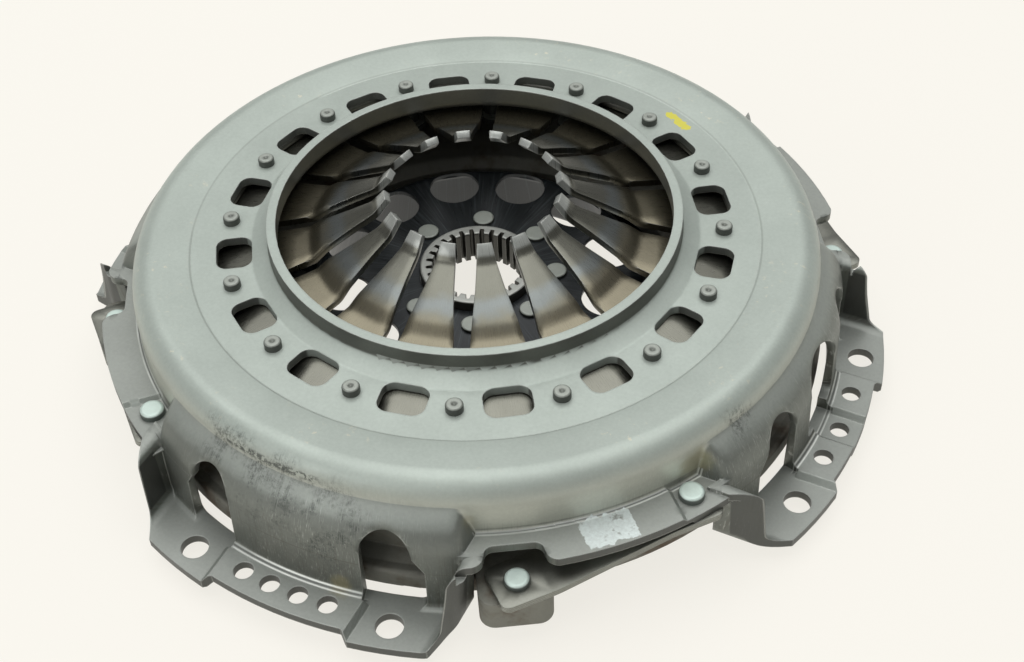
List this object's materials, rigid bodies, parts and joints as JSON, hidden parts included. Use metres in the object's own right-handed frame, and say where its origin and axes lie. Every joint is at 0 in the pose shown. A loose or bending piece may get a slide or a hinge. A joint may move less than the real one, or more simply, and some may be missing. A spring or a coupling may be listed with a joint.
{
  "type": "clutch pressure plate",
  "caption": "Diaphragm-spring clutch: pressed steel cover, slotted spring and cast pressure plate hung on tangential straps, over a splined friction disc.",
  "frame": {"origin": "centre of the mounting face, on the clutch axis in the plane of the feet's undersides", "axes": "+Z along the clutch axis towards the release side, +X through one of the two feet with a dowel hole"},
  "size_m": [0.2872, 0.2872, 0.0706],
  "materials": {
    "cover_steel": "satin",
    "spring_steel": "satin",
    "strap_steel": "satin",
    "zinc_rivet": "satin",
    "ring_wire": "satin",
    "plate_iron": "matte",
    "hub_steel": "satin",
    "carrier_black": "satin",
    "cushion_steel": "satin",
    "friction_facing": "matte",
    "facing_rivet": "satin"
  },
  "bodies": {
    "cover": {"cover": "cover_steel", "pivot_rivets": "zinc_rivet", "upper_pivot_ring": "ring_wire", "lower_pivot_ring": "ring_wire", "diaphragm_spring": "spring_steel", "cover_strap_rivets": "zinc_rivet", "strap_1_top": "strap_steel", "strap_1_middle": "strap_steel", "strap_1_bottom": "strap_steel", "strap_2_top": "strap_steel", "strap_2_middle": "strap_steel", "strap_2_bottom": "strap_steel", "strap_3_top": "strap_steel", "strap_3_middle": "strap_steel", "strap_3_bottom": "strap_steel", "strap_4_top": "strap_steel", "strap_4_middle": "strap_steel", "strap_4_bottom": "strap_steel"},
    "pressure_plate": {"pressure_plate": "plate_iron", "lug_strap_rivets": "zinc_rivet"},
    "driven_disc": {"disc_hub": "hub_steel", "disc_carrier": "carrier_black", "hub_rivets": "zinc_rivet", "upper_facing": "friction_facing", "lower_facing": "friction_facing", "facing_rivets": "facing_rivet", "segment_rivets": "zinc_rivet", "cushion_01": "cushion_steel", "cushion_02": "cushion_steel", "cushion_03": "cushion_steel", "cushion_04": "cushion_steel", "cushion_05": "cushion_steel", "cushion_06": "cushion_steel", "cushion_07": "cushion_steel", "cushion_08": "cushion_steel", "cushion_09": "cushion_steel", "cushion_10": "cushion_steel", "cushion_11": "cushion_steel", "cushion_12": "cushion_steel"}
  },
  "joints": [
    {"name": "pressure_plate_lift", "type": "slide", "parent": "cover", "child": "pressure_plate", "axis": [0, 0, 1], "range_m": [0, 0.0045], "stiffness_N_per_m": 20000, "deforming": ["diaphragm_spring", "strap_1_top", "strap_1_middle", "strap_1_bottom", "strap_2_top", "strap_2_middle", "strap_2_bottom", "strap_3_top", "strap_3_middle", "strap_3_bottom", "strap_4_top", "strap_4_middle", "strap_4_bottom"]},
    {"name": "driven_disc_spin", "type": "hinge", "parent": "cover", "child": "driven_disc", "pos_m": [0, 0, 0], "axis": [0, 0, 1], "continuous": true}
  ]
}
